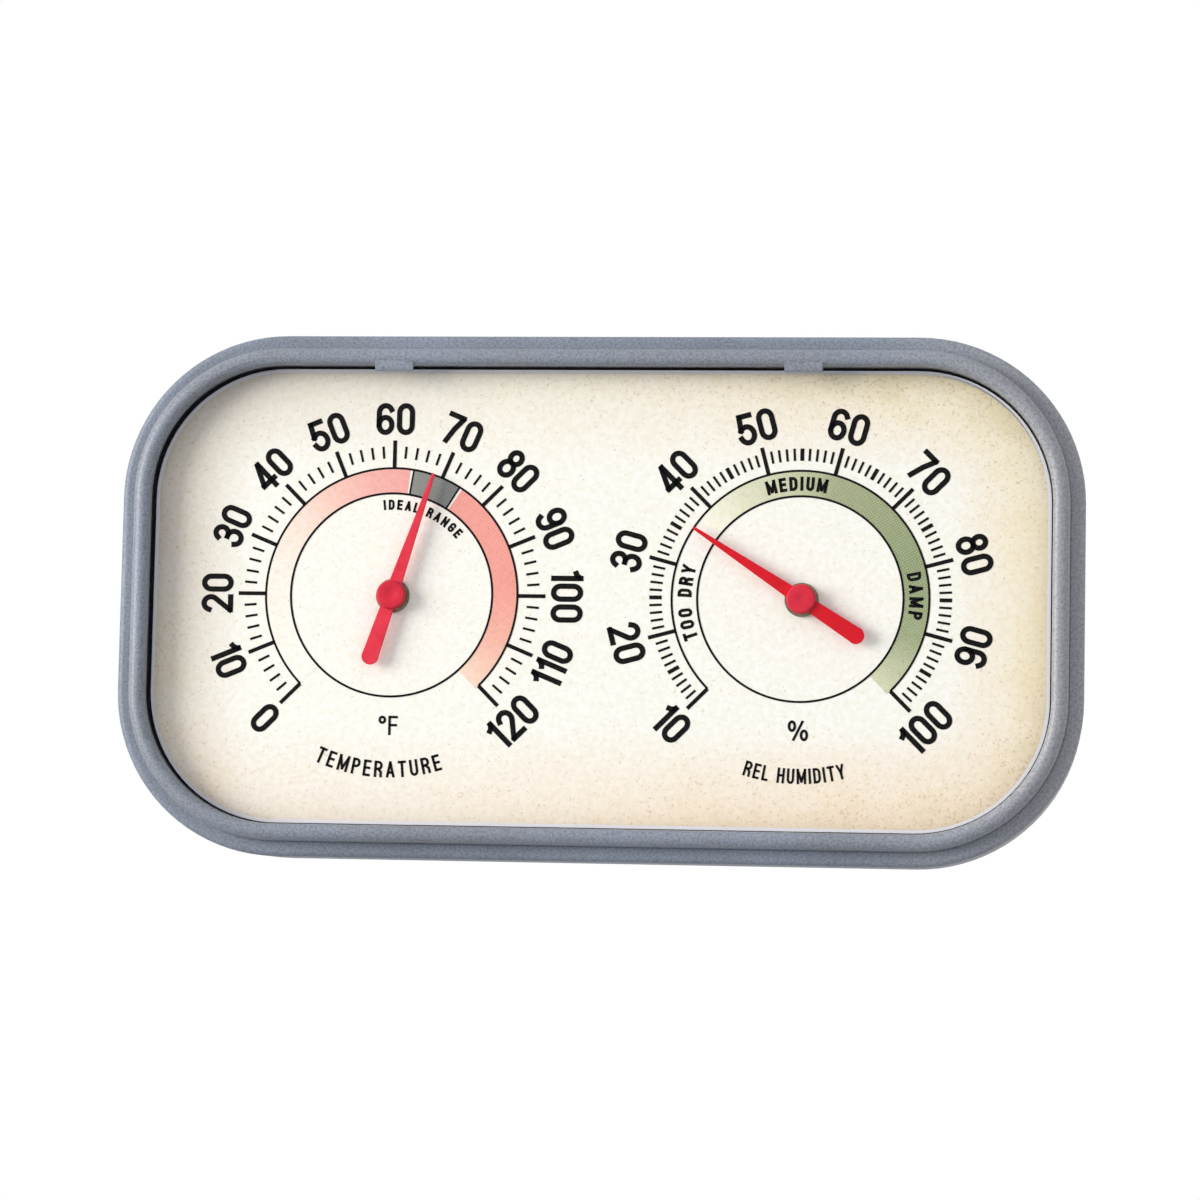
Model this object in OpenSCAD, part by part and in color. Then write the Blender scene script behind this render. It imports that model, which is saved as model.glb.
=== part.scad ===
// A wall and desk thermo-hygrometer with two pointers on one dial.
// X runs across the dial, Z runs up, and the dial faces -Y.
// The origin is under the middle of the case, on the surface that it stands on.
// Each piece is drawn flat, as the dial is seen: x to the right, y up, and z towards the reader
// from the dial's printed face. stand() then sets it upright.

/* [Case] */
// Width of the case over its ends
case_w = 165; // [156:1:190]
// Height of the case from its foot to its top
case_h = 89.6; // [86:0.2:110]
// Radius of the case's corners, seen from the front
case_r = 28.2; // [24:0.2:34]
// Thickness of the case's side walls
case_wall = 2.5; // [2.2:0.1:3]
// Thickness of the case's back
back_wall = 2.2; // [1.6:0.1:3]
// Distance from the dial's face to the rear of the case
case_back = 19; // [16:0.5:26]
// How far the side walls stand ahead of the dial's face
case_rim = 1.4; // [0.8:0.1:2.4]
// Rounding of the side walls' front edge
rim_round = 1.1; // [0.4:0.1:1.8]
// Rounding of the case's rear edge
back_round = 3; // [2:0.5:5]

/* [Bezel] */
// Groove between the side wall and the bezel
bezel_gap = 0.1; // [0.1:0.05:0.3]
// Width of the bezel's bead, seen from the front
bezel_w = 2.9; // [2.4:0.1:3.4]
// Rounding of the bead's inner edge
bead_inner_r = 1.2; // [0.8:0.1:1.4]
// How far the bead stands ahead of the window
bead_rise = 0.7; // [0.6:0.1:1.4]
// How far the bezel's skirt reaches behind the dial's face
bezel_skirt = 3; // [2.4:0.1:4]
// Width of a lug that holds the window's upper edge
lug_w = 6.5; // [4:0.5:9]
// How far a lug stands out over the window
lug_reach = 1.1; // [0.9:0.1:1.6]
// Thickness of a lug
lug_t = 0.5; // [0.4:0.05:0.55]
// Play of the window behind the lugs, and again before the dial
lug_play = 0.05; // [0.02:0.01:0.1]

/* [Snap hooks] */
// Width of a hook on the bezel
hook_w = 9; // [6:0.5:12]
// Thickness of a hook
hook_t = 1.2; // [0.9:0.1:1.6]
// Length of a hook behind the bezel's skirt
hook_len = 5.5; // [4.5:0.5:7]
// Height of a hook's barb
hook_barb = 1.8; // [1.2:0.1:2.4]
// How far a barb reaches into the side wall
hook_bite = 0.6; // [0.4:0.05:0.9]
// Clearance round a barb in its pocket
hook_play = 0.25; // [0.15:0.05:0.4]
// Distance of the outer hooks from the middle of a long side
hook_x = 46; // [36:1:48]

/* [Ribs, vents and hanger] */
// Thickness of a rib that carries the dial
rib_t = 1.6; // [1.2:0.1:2.4]
// How far a rib reaches under the dial's edge
rib_seat = 3.5; // [2.5:0.5:6]
// Distance of the long sides' ribs from the middle
rib_x = 24; // [16:1:32]
// Distance of the ends' ribs from the middle
rib_y = 11; // [8:0.5:13]
// Number of vent slots behind each scale
vent_count = 7; // [3:2:9]
// Width of a vent slot
vent_w = 2.4; // [1.6:0.2:3]
// Length of a vent slot
vent_len = 26; // [16:1:34]
// Distance from one vent slot to the next
vent_pitch = 5; // [4:0.5:6]
// Radius of the hanger's round hole, which takes a screw's head
hanger_r = 4; // [3.5:0.1:5]
// Radius of the hanger's slot, which takes the screw's shank
hanger_slot_r = 2; // [1.5:0.1:2.4]
// Travel of the shank from the round hole up the slot
hanger_travel = 8; // [6:0.5:9]
// Height of the round hole above the middle of the case
hanger_y = 24; // [20:1:28]

/* [Window] */
// Gap round the window in the bezel
window_gap = 0.15; // [0.1:0.05:0.25]
// Thickness of the window
window_t = 1.3; // [1:0.1:2]
// Air space between the dial and the window
window_space = 3; // [2.8:0.1:5]
// Thickness of the window's skirt
window_skirt = 0.7; // [0.6:0.1:1.2]
// Rounding of the window's front edge
window_round = 0.3; // [0.1:0.05:0.5]
// Width of a tongue on the window's lower edge
tongue_w = 10; // [6:1:14]
// How far a tongue stands out from the window's edge
tongue_reach = 0.9; // [0.6:0.1:1.2]
// Thickness of a tongue
tongue_t = 0.6; // [0.4:0.05:0.8]
// Play of a tongue in its slot
tongue_play = 0.1; // [0.05:0.05:0.15]

/* [Dial] */
// Gap round the dial in the bezel
dial_gap = 0.2; // [0.1:0.05:0.4]
// Thickness of the printed face
face_t = 0.3; // [0.2:0.05:0.5]
// Thickness of the plate behind it
plate_t = 0.8; // [0.6:0.1:1.5]
// Distance of each shaft from the middle of the dial
scale_x = 35; // [33:0.5:37]
// Temperature shown, in degrees Fahrenheit
temperature = 68; // [0:1:120]
// Relative humidity shown, in percent
humidity = 36; // [10:1:100]

/* [Pointers] */
// Length of the needle from the shaft to its tip
needle_len = 22; // [20:0.5:24]
// Width of the needle at the shaft
needle_w = 2.4; // [1.8:0.1:2.8]
// Width of the needle at its tip
tip_w = 0.5; // [0.3:0.05:0.7]
// Length of the tail from the shaft to its end
tail_len = 12.5; // [10:0.5:14]
// Width of the tail at the shaft
tail_root_w = 2.2; // [1.8:0.1:2.6]
// Width of the tail's round end
tail_w = 2.9; // [2.4:0.1:3.4]
// Radius of the blade's eye
eye_r = 2.3; // [2:0.1:2.6]
// Thickness of the blade
blade_t = 0.4; // [0.3:0.05:0.5]
// Height of the blade above the dial's face
blade_z = 1.5; // [1.2:0.1:1.7]
// Radius of the hub's head
hub_r = 2.5; // [2.2:0.1:3]
// Thickness of the hub's head
hub_head_t = 0.6; // [0.4:0.1:0.7]
// Depth of the dimple that riveting leaves in the hub's head
hub_dimple = 0.2; // [0.1:0.05:0.25]
// Radius of the spigot that the blade is staked on
spigot_r = 1.2; // [1.1:0.05:1.5]
// Radius of the hub's foot
hub_foot_r = 1.7; // [1.5:0.1:2]

/* [Movements] */
// Radius of a shaft
shaft_r = 0.8; // [0.7:0.05:0.9]
// Radius of a shaft's rear pivot
pivot_r = 0.5; // [0.4:0.05:0.6]
// Radial play of a shaft in its bearings
shaft_play = 0.04; // [0.02:0.01:0.08]
// End play of a shaft
end_play = 0.2; // [0.15:0.05:0.35]
// Radius of a bush's barrel
bush_r = 1.9; // [1.7:0.1:2.2]
// Radius of a bush's front flange
bush_flange_r = 2.9; // [2.8:0.1:3.5]
// Thickness of a bush's front flange
bush_flange_t = 0.4; // [0.3:0.05:0.5]
// Radius of a bush's riveted rear edge
bush_rivet_r = 2.6; // [2.3:0.1:2.8]
// Gap round a bush in the plates that it clamps
bush_fit = 0.05; // [0.02:0.01:0.1]
// Thickness of a bracket's sheet
bracket_t = 0.8; // [0.6:0.1:1]
// Width of a bracket
bracket_w = 9; // [8:0.5:11]
// Inner radius of a bracket's bends
bend_r = 0.6; // [0.4:0.1:1]
// Width of a coil's strip
strip_w = 2.8; // [2:0.1:3.4]
// Free space before and behind a coil
coil_space = 1.9; // [1.5:0.1:3]
// Radius of a collet
collet_r = 2.2; // [1.9:0.1:2.5]
// Depth of the slot that holds a coil's inner end
collet_slot = 0.9; // [0.6:0.1:1]
// Clearance between a coil and what it is wound round or hooked in
coil_play = 0.1; // [0.05:0.01:0.15]
// Thickness of the bimetal strip
bimetal_t = 0.3; // [0.2:0.05:0.4]
// Distance from one turn of the bimetal coil to the next
bimetal_pitch = 0.9; // [0.7:0.05:1.1]
// Half turns of the bimetal coil
bimetal_halves = 17; // [9:2:19]
// Thickness of the humidity strip
humid_t = 0.45; // [0.3:0.05:0.5]
// Distance from one turn of the humidity coil to the next
humid_pitch = 1.4; // [1.2:0.05:1.6]
// Half turns of the humidity coil
humid_halves = 11; // [7:2:13]
// Radius of the stud that holds a coil's outer end
stud_r = 1.1; // [0.9:0.05:1.4]

/* [Hidden] */
$fn = 96;

// Depth by which one shape runs into another that it is one piece with
bond = 0.5;
// Overshoot of a cutter past the face that it opens
cut = 1;
// How far the corners of a straight stretch lie inside the round end that it meets
tuck = 0.04;

// Heights above the dial's face; what lies behind it is negative
window_front = window_space + window_t;
crest = window_front + bead_rise;
dial_back = -(face_t + plate_t);
bracket_back = dial_back - bracket_t;
back_inside = back_wall - case_back;
coil_front = bracket_back - coil_space;
coil_back = coil_front - strip_w;
bridge_front = coil_back - coil_space;
bridge_back = bridge_front - bracket_t;
hub_foot_z = bush_flange_t + end_play;
blade_front = blade_z + blade_t;
dial_y = (crest - case_back) / 2;

// Distances inwards from the case's outline
bezel_out = case_wall + bezel_gap;
bezel_in = bezel_out + bezel_w;
bead_outer_r = bezel_w - bead_inner_r;
window_edge = bezel_in + window_gap;

// Angle of a reading, clockwise from the top of its scale
sweep_angle = 270;
temperature_angle = (temperature - 60) * sweep_angle / 120;
humidity_angle = (humidity - 55) * sweep_angle / 90;

// Radius of a coil's innermost turn, and of its outermost
function coil_start(t, pitch) = collet_r + coil_play + t / 2 + pitch / 4;
function coil_end(t, pitch, halves) = coil_start(t, pitch) + (halves - 1) * pitch / 2;
coil_room = max(coil_end(bimetal_t, bimetal_pitch, bimetal_halves),
    coil_end(humid_t, humid_pitch, humid_halves));
stud_x = coil_room + bend_r + stud_r;
leg_x = coil_room + 2 * bend_r + bracket_t;

module stand() {
    translate([0, dial_y, case_h / 2]) rotate([90, 0, 0]) children();
}

// A rectangle with round corners, its edges set in from the case's outline
module outline(inset) {
    w = case_w - 2 * inset;
    h = case_h - 2 * inset;
    r = case_r - inset;
    square([w - 2 * r, h], center = true);
    square([w, h - 2 * r], center = true);
    for (x = [-1, 1], y = [-1, 1])
        translate([x * (w / 2 - r), y * (h / 2 - r)]) circle(r);
}

// A profile carried round the case's outline: its x is measured outwards from the outline
module around() {
    run_x = case_w - 2 * case_r;
    run_y = case_h - 2 * case_r;
    for (half = [0, 180]) rotate([0, 0, half]) {
        translate([-run_x / 2, case_h / 2, 0]) rotate([90, 0, 90])
            linear_extrude(run_x) children();
        translate([case_w / 2, run_y / 2, 0]) rotate([90, 0, 0])
            linear_extrude(run_y) children();
        translate([run_x / 2, run_y / 2, 0])
            rotate_extrude(angle = 90) translate([case_r, 0]) children();
        translate([-run_x / 2, run_y / 2, 0]) rotate([0, 0, 90])
            rotate_extrude(angle = 90) translate([case_r, 0]) children();
    }
}

// A profile extruded across one place on a long side or on an end
module on_long_side(x, width) {
    translate([x - width / 2, case_h / 2, 0]) rotate([90, 0, 90])
        linear_extrude(width) children();
}

module on_end(y, width) {
    translate([case_w / 2, y + width / 2, 0]) rotate([90, 0, 0])
        linear_extrude(width) children();
}

// What is taken off a square corner to round it; the corner is at the origin
module corner_waste(r) {
    difference() {
        translate([-r, -r]) square(r + cut);
        translate([-r, -r]) circle(r);
    }
}

// A rectangle between two heights and two distances inwards from the outline
module band(inner, outer, low, high) {
    translate([-inner, low]) square([inner - outer, high - low]);
}

module at_hooks() {
    for (half = [0, 180]) rotate([0, 0, half]) {
        for (x = [-hook_x, 0, hook_x]) on_long_side(x, $hook_width) children();
        on_end(0, $hook_width) children();
    }
}

catch_z = -(bezel_skirt + hook_len - hook_barb);
hook_end = -(bezel_skirt + hook_len);
barb_u = case_wall - hook_bite;

module hook_profile() {
    polygon([[-bezel_out, bond - bezel_skirt], [-bezel_out, catch_z], [-barb_u, catch_z],
        [-barb_u, catch_z - hook_bite], [-bezel_out, hook_end],
        [-bezel_out - hook_t, hook_end], [-bezel_out - hook_t, bond - bezel_skirt]]);
}

// The moulded case: side walls, back, ribs that carry the dial, vents and the hanger's keyhole
module wall_profile() {
    difference() {
        band(bezel_in, 0, -case_back, case_rim);
        translate([0, case_rim]) corner_waste(rim_round);
        translate([0, -case_back]) mirror([0, 1]) corner_waste(back_round);
        difference() {
            band(bezel_in + cut, case_wall, back_inside, case_rim + cut);
            translate([-case_wall, back_inside]) mirror([0, 1])
                corner_waste(back_round - min(case_wall, back_round - bond));
        }
    }
}

module rib_profile() {
    polygon([[-(case_wall - bond), -bezel_skirt], [-(case_wall - bond), back_inside - bond],
        [-(bezel_in + dial_gap + rib_seat), back_inside - bond],
        [-(bezel_in + dial_gap + rib_seat), dial_back],
        [-(bezel_in + dial_gap), dial_back], [-(bezel_in + dial_gap), -bezel_skirt]]);
}

module pocket_profile() {
    band(case_wall + cut, barb_u - hook_play, hook_end - hook_play, catch_z + lug_play);
}

module slot(r, length) {
    for (end = [-1, 1]) translate([0, end * (length / 2 - r)]) circle(r);
    square([2 * r, length - 2 * r], center = true);
}

module vents() {
    for (side = [-1, 1], i = [0 : vent_count - 1])
        translate([side * scale_x + (i - (vent_count - 1) / 2) * vent_pitch, 0])
            slot(vent_w / 2, vent_len);
}

module keyhole() {
    translate([0, hanger_y]) {
        circle(hanger_r);
        translate([-hanger_slot_r, 0]) square([2 * hanger_slot_r, hanger_travel]);
        translate([0, hanger_travel]) circle(hanger_slot_r);
    }
}

module rear_case() {
    color("slategray") stand() difference() {
        union() {
            around() wall_profile();
            translate([0, 0, -case_back]) linear_extrude(back_wall) outline(bezel_in - bond);
            for (half = [0, 180]) rotate([0, 0, half]) {
                for (x = [-rib_x, rib_x]) on_long_side(x, rib_t) rib_profile();
                for (y = [-rib_y, rib_y]) on_end(y, rib_t) rib_profile();
            }
        }
        at_hooks($hook_width = hook_w + 2 * hook_play) pocket_profile();
        translate([0, 0, -case_back - cut]) linear_extrude(back_wall + 2 * cut) {
            vents();
            keyhole();
        }
    }
}

// The bezel: a rounded bead with eight hooks into the case. Two slots take the window's lower edge,
// and its upper edge snaps in behind two lugs.
module bezel_profile() {
    difference() {
        band(bezel_in, bezel_out, -bezel_skirt, crest);
        translate([-bezel_out, crest]) corner_waste(bead_outer_r);
        translate([-bezel_in, crest]) mirror([1, 0]) corner_waste(bead_inner_r);
    }
}

module lug_profile() {
    under = window_front + lug_play;
    root = bezel_in - bead_inner_r;
    polygon([[-root, under], [-(bezel_in + lug_reach), under],
        [-(bezel_in + lug_reach), under + lug_t / 2],
        [-(bezel_in + lug_reach / 2), under + lug_t], [-root, under + lug_t]]);
}

// A tongue of the window, or the slot that it stands in when it is given some play
module tongues(depth, play) {
    for (x = [-scale_x, scale_x]) rotate([0, 0, 180]) on_long_side(x, tongue_w + 2 * play)
        band(depth, window_edge - tongue_reach - play,
            window_space - tongue_t - play, window_space + play);
}

module bezel() {
    color("slategray") stand() {
        difference() {
            around() bezel_profile();
            tongues(bezel_in + cut, tongue_play);
        }
        at_hooks($hook_width = hook_w) hook_profile();
        for (x = [-scale_x, scale_x]) on_long_side(x, lug_w) lug_profile();
    }
}

// The clear window, with a skirt that stands on the dial and two tongues on its lower edge
module window() {
    color("lightcyan", 0.3) stand() {
        around() difference() {
            band(window_edge + window_skirt, window_edge, lug_play, window_front);
            translate([-window_edge, window_front]) corner_waste(window_round);
        }
        tongues(window_edge + window_skirt, 0);
        translate([0, 0, window_space]) linear_extrude(window_t)
            outline(window_edge + window_skirt - bond);
    }
}

// The dial: a printed face on a plate, with a hole for each movement's bush
module dial_sheet(low, thickness) {
    stand() difference() {
        translate([0, 0, low]) linear_extrude(thickness) outline(bezel_in + dial_gap);
        for (x = [-scale_x, scale_x]) translate([x, 0, low - cut])
            cylinder(r = bush_r + bush_fit, h = thickness + 2 * cut);
    }
}

module dial_face() {
    color("oldlace") dial_sheet(-face_t, face_t);
}

module dial_plate() {
    color("silver") dial_sheet(dial_back, plate_t);
}

// Where a movement stands: behind the left scale or behind the right one
module at_scale(side) {
    stand() translate([side * scale_x, 0, 0]) children();
}

// The bush carries the shaft and is riveted over, to clamp the bracket behind the dial
module bush() {
    difference() {
        union() {
            cylinder(r = bush_flange_r, h = bush_flange_t);
            translate([0, 0, bracket_back]) cylinder(r = bush_r, h = -bracket_back + bush_flange_t);
            translate([0, 0, bracket_back - bush_flange_t])
                cylinder(r1 = bush_rivet_r - bush_flange_t, r2 = bush_rivet_r, h = bush_flange_t);
        }
        translate([0, 0, bracket_back - bush_flange_t - cut])
            cylinder(r = shaft_r + shaft_play, h = 2 * (bush_flange_t + cut) - bracket_back);
    }
}

// The bracket: a strip of sheet bent to a C, with the shaft's rear bearing in its short arm
module bend(x, y, turn) {
    translate([x, y]) rotate([0, 0, turn]) intersection() {
        difference() {
            circle(bend_r + bracket_t);
            circle(bend_r);
        }
        square(bend_r + bracket_t);
    }
}

module bracket_side() {
    inner = leg_x - bend_r - bracket_t;
    translate([-stud_x, bracket_back]) square([stud_x + inner, bracket_t]);
    translate([0, bridge_back]) square([inner, bracket_t]);
    translate([leg_x - bracket_t, bridge_front + bend_r])
        square([bracket_t, bracket_back - bridge_front - 2 * bend_r]);
    bend(inner, bracket_back - bend_r, 0);
    bend(inner, bridge_front + bend_r, -90);
}

module bracket() {
    difference() {
        union() {
            translate([0, bracket_w / 2, 0]) rotate([90, 0, 0])
                linear_extrude(bracket_w) bracket_side();
            translate([-stud_x, 0, bracket_back]) cylinder(r = bracket_w / 2, h = bracket_t);
            translate([0, 0, bridge_back]) cylinder(r = bracket_w / 2, h = bracket_t);
        }
        translate([0, 0, bracket_back - cut])
            cylinder(r = bush_r + bush_fit, h = bracket_t + 2 * cut);
        translate([0, 0, bridge_back - cut])
            cylinder(r = pivot_r + shaft_play, h = bracket_t + 2 * cut);
        translate([-stud_x, 0, bracket_back - cut])
            cylinder(r = stud_r / 2, h = bracket_t + 2 * cut);
    }
}

// The slotted stud that the coil's outer end is hooked in
module stud(strip_t) {
    difference() {
        union() {
            translate([-stud_x, 0, coil_back - bond])
                cylinder(r = stud_r, h = bracket_back - coil_back + bond);
            translate([-stud_x, 0, bracket_back]) cylinder(r = stud_r / 2, h = bracket_t);
        }
        translate([-stud_x, -strip_t / 2 - coil_play, coil_back - bond - cut])
            cube([stud_r + cut, strip_t + 2 * coil_play, strip_w + bond + cut + coil_play]);
    }
}

// A coil wound as half turns about two centres, with its ends bent out to its holders
module coil(t, pitch, halves) {
    start = coil_start(t, pitch);
    far = coil_end(t, pitch, halves) - pitch / 4;
    translate([0, 0, coil_back]) {
        for (k = [0 : halves - 1])
            translate([k % 2 == 0 ? -pitch / 4 : pitch / 4, 0, 0])
                rotate([0, 0, k % 2 == 0 ? 0 : 180])
                rotate_extrude(angle = 180)
                translate([start + k * pitch / 2 - t / 2, 0]) square([t, strip_w]);
        translate([collet_r - collet_slot + coil_play, -t / 2, 0])
            cube([start - pitch / 4 + t / 2 - collet_r + collet_slot - coil_play, t, strip_w]);
        translate([-stud_x + coil_play, -t / 2, 0])
            cube([stud_x - coil_play - far - pitch / 4 + t / 2, t, strip_w]);
    }
}

// The collet, pressed on the shaft, that the coil's inner end is hooked in
module collet(strip_t) {
    difference() {
        translate([0, 0, coil_back - bond]) cylinder(r = collet_r, h = strip_w + 2 * bond);
        translate([0, 0, coil_back - bond - cut]) cylinder(r = shaft_r, h = strip_w + 2 * (bond + cut));
        translate([collet_r - collet_slot, -strip_t / 2 - coil_play, coil_back - bond - cut])
            cube([collet_slot + cut, strip_t + 2 * coil_play, strip_w + 2 * (bond + cut)]);
    }
}

// The shaft, with a thinner pivot at its rear
module shaft() {
    translate([0, 0, bridge_front + end_play])
        cylinder(r = shaft_r, h = blade_front - bridge_front - end_play);
    translate([0, 0, bridge_back - end_play])
        cylinder(r = pivot_r, h = bracket_t + 3 * end_play);
}

// The blade: a tapered needle and a heavier round tail that balances it
module pointer() {
    tail_side = tail_w / 2 - tuck;
    tail_y = tail_w / 2 - tail_len;
    difference() {
        translate([0, 0, blade_z]) union() {
            cylinder(r = eye_r, h = blade_t);
            linear_extrude(blade_t)
                polygon([[-tail_root_w / 2, 0], [-needle_w / 2, 0], [-tip_w / 2, needle_len],
                    [tip_w / 2, needle_len], [needle_w / 2, 0], [tail_root_w / 2, 0],
                    [tail_side, tail_y], [-tail_side, tail_y]]);
            translate([0, tail_y, 0]) cylinder(r = tail_w / 2, h = blade_t);
        }
        translate([0, 0, blade_z - cut]) cylinder(r = spigot_r, h = blade_t + 2 * cut);
    }
}

// The turned hub: its foot runs on the bush, and its head is riveted over the blade
module hub() {
    difference() {
        rotate_extrude() {
            translate([0, hub_foot_z]) square([hub_foot_r, blade_z - hub_foot_z]);
            square([spigot_r, blade_front + hub_head_t / 2]);
            translate([0, blade_front]) square([hub_r, hub_head_t / 2]);
            polygon([[0, blade_front], [hub_r, blade_front + hub_head_t / 2],
                [hub_r - hub_head_t / 2, blade_front + hub_head_t],
                [spigot_r + hub_dimple, blade_front + hub_head_t],
                [0, blade_front + hub_head_t - hub_dimple]]);
        }
        translate([0, 0, -cut]) cylinder(r = shaft_r, h = blade_front + cut);
        translate([0, 0, -cut]) cylinder(r = spigot_r + cut, h = cut + hub_foot_z);
    }
}

module thermo_bush() {
    color("darkkhaki") at_scale(-1) bush();
}

module thermo_bracket() {
    color("gainsboro") at_scale(-1) bracket();
}

module thermo_stud() {
    color("goldenrod") at_scale(-1) stud(bimetal_t);
}

module thermo_coil() {
    color("darkgray") at_scale(-1) coil(bimetal_t, bimetal_pitch, bimetal_halves);
}

module thermo_collet() {
    color("goldenrod") at_scale(-1) collet(bimetal_t);
}

module thermo_shaft() {
    color("gray") at_scale(-1) shaft();
}

module thermo_pointer() {
    color("crimson") at_scale(-1) rotate([0, 0, -temperature_angle]) pointer();
}

module thermo_hub() {
    color("crimson") at_scale(-1) hub();
}

module hygro_bush() {
    color("darkkhaki") at_scale(1) bush();
}

module hygro_bracket() {
    color("gainsboro") at_scale(1) bracket();
}

module hygro_stud() {
    color("goldenrod") at_scale(1) stud(humid_t);
}

module hygro_coil() {
    color("burlywood") at_scale(1) coil(humid_t, humid_pitch, humid_halves);
}

module hygro_collet() {
    color("goldenrod") at_scale(1) collet(humid_t);
}

module hygro_shaft() {
    color("gray") at_scale(1) shaft();
}

module hygro_pointer() {
    color("crimson") at_scale(1) rotate([0, 0, -humidity_angle]) pointer();
}

module hygro_hub() {
    color("crimson") at_scale(1) hub();
}

rear_case();
bezel();
window();
dial_face();
dial_plate();
thermo_bush();
thermo_bracket();
thermo_stud();
thermo_coil();
thermo_collet();
thermo_shaft();
thermo_pointer();
thermo_hub();
hygro_bush();
hygro_bracket();
hygro_stud();
hygro_coil();
hygro_collet();
hygro_shaft();
hygro_pointer();
hygro_hub();
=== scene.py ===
import math

import bpy
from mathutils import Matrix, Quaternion, Vector


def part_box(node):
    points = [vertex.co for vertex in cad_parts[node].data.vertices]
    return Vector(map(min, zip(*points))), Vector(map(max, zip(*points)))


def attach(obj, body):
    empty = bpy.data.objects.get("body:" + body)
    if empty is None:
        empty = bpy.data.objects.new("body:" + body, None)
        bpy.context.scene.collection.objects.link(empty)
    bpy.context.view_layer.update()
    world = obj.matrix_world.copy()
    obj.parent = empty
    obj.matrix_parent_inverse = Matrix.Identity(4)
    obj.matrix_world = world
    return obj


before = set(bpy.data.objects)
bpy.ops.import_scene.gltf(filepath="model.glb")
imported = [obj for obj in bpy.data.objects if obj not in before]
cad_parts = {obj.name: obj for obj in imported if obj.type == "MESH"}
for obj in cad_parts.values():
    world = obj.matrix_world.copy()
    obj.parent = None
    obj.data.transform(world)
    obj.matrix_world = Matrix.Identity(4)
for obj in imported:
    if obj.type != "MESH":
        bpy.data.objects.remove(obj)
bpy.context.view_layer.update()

# The camera, a long lens level with the foot and a little to the right, looking up at the dial.
# Its place was fitted to the photograph's four printed circles, in millimetres from the middle of
# the print, which on the real dial was laid down a little to the upper left of the shafts.
MM = 0.001
print_offset = (-0.3, 0.2)
camera_from_print = (75.47, -631.49, -56.29)
aim_from_print = (0.98, 0.0, -0.54)
camera_roll = math.radians(1.19)
dial_low, dial_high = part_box("dial_face")
print_middle = Vector((
    (dial_low.x + dial_high.x) / 2 + print_offset[0] * MM,
    dial_low.y,
    (dial_low.z + dial_high.z) / 2 + print_offset[1] * MM,
))
camera_place = print_middle + Vector(camera_from_print) * MM
aim = print_middle + Vector(aim_from_print) * MM
camera = bpy.data.objects.new("camera", bpy.data.cameras.new("camera"))
bpy.context.scene.collection.objects.link(camera)
camera.data.lens = 112.62
camera.data.sensor_width = 36
camera.data.clip_start = 0.05
camera.location = camera_place
camera.rotation_mode = "QUATERNION"
camera.rotation_quaternion = (aim - camera_place).to_track_quat("-Z", "Y") @ Quaternion((0, 0, 1), camera_roll)
bpy.context.scene.camera = camera

# The rear case and the bezel that snaps into its front. Both are injection-moulded ABS, coloured
# blue-grey right through, from tools with a fine spark finish. The bezel's bead is a little
# smoother than the case, because hands polish it. The right end is painted paler, as painted
# light standing in for the lamp light that the bead keeps off it.
case_colour = "#7F8794"
case_worn_colour = "#929AA9"
bead_colour = "#888C94"
# Painted light: the paler colours of the right end, and where they start and are full.
painted_light_case = "#A6A7AA"
painted_light_bead = "#A4A5A9"
painted_light_from = 45 * MM
painted_light_to = 80 * MM
grain_dark = "#BDBDBD"
case_cloud = 22.0
case_edge_round = 0.25
# The grain of a spark finish is nearer 0.1 mm, and is drawn coarser so that it shows.
case_grain = 0.4


def linear(hex_colour):
    """An sRGB hex colour as linear RGBA."""
    parts = [int(hex_colour[i:i + 2], 16) / 255 for i in (1, 3, 5)]
    return [c / 12.92 if c <= 0.04045 else ((c + 0.055) / 1.055) ** 2.4 for c in parts] + [1.0]


def add(finish, kind, inputs=None, stops=None, **settings):
    """Adds a node to a finish. Inputs are values, hex colours or other nodes' sockets, by name or number."""
    made = finish.node_tree.nodes.new("ShaderNode" + kind)
    for name, value in settings.items():
        setattr(made, name, value)
    for name, value in (inputs or {}).items():
        if isinstance(value, bpy.types.NodeSocket):
            finish.node_tree.links.new(value, made.inputs[name])
        else:
            made.inputs[name].default_value = linear(value) if isinstance(value, str) else value
    if stops:
        ramp = made.color_ramp.elements
        while len(ramp) < len(stops):
            ramp.new(0.5)
        for element, (place, colour) in zip(ramp, stops):
            element.position = place
            element.color = linear(colour)
    return made


def new_finish(name):
    """An empty node material."""
    finish = bpy.data.materials.new(name)
    finish.use_nodes = True
    finish.node_tree.nodes.clear()
    return finish


def dress(finish, *cad_nodes):
    """Gives CAD nodes a finish through their own material slots."""
    for name in cad_nodes:
        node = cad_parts[name]
        if not node.material_slots:
            node.data.materials.append(None)
        for slot in node.material_slots:
            slot.material = finish


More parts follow.
